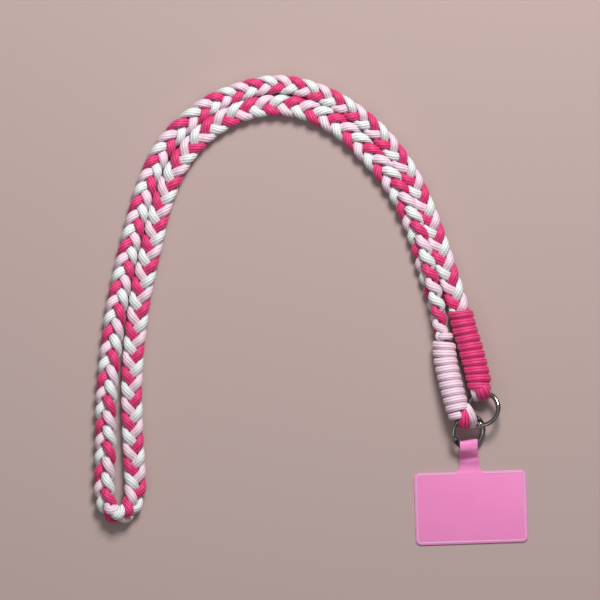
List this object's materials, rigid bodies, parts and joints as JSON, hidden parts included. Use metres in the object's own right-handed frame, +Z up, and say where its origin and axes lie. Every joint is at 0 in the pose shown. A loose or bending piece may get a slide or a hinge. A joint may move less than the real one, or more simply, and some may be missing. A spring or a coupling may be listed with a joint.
{
  "type": "phone crossbody strap",
  "caption": "Braided cord phone strap with whipped grips, spring rings linked to each other and a soft tether patch for a phone case.",
  "frame": {"origin": "on the table under the middle of the object's box, with the strap lying down", "axes": "+Z up from the table, +Y towards the top of the strap's arch, +X to the right as seen from above"},
  "size_m": [0.2398, 0.2608, 0.0173],
  "materials": {
    "hot_pink": "ribbed woven cord",
    "light_pink": "ribbed woven cord",
    "white": "ribbed woven cord",
    "steel": "polished",
    "patch_pink": "satin soft plastic"
  },
  "bodies": {
    "strap": {"strand_hot_pink": "hot_pink", "strand_light_pink": "light_pink", "strand_white": "white", "grip_light_pink": "light_pink", "grip_hot_pink": "hot_pink", "eye_a_hot_pink": "hot_pink", "eye_a_light_pink": "light_pink", "eye_b_hot_pink": "hot_pink", "eye_b_light_pink": "light_pink", "ring_a_hook": "steel", "ring_b_hook": "steel", "tether_patch": "patch_pink"},
    "gate_a": {"ring_a_gate": "steel"},
    "gate_b": {"ring_b_gate": "steel"}
  },
  "joints": [
    {"name": "gate_a_hinge", "type": "hinge", "parent": "strap", "child": "gate_a", "pos_m": [0.07895, -0.07138, 0.00904], "axis": [-0.3815, 0.2461, -0.891], "range_deg": [0, 11], "stiffness_Nm_per_rad": 0.002},
    {"name": "gate_b_hinge", "type": "hinge", "parent": "strap", "child": "gate_b", "pos_m": [0.09253, -0.06325, 0.00876], "axis": [-0.3148, 0.2031, 0.9272], "range_deg": [0, 24], "stiffness_Nm_per_rad": 0.002}
  ]
}
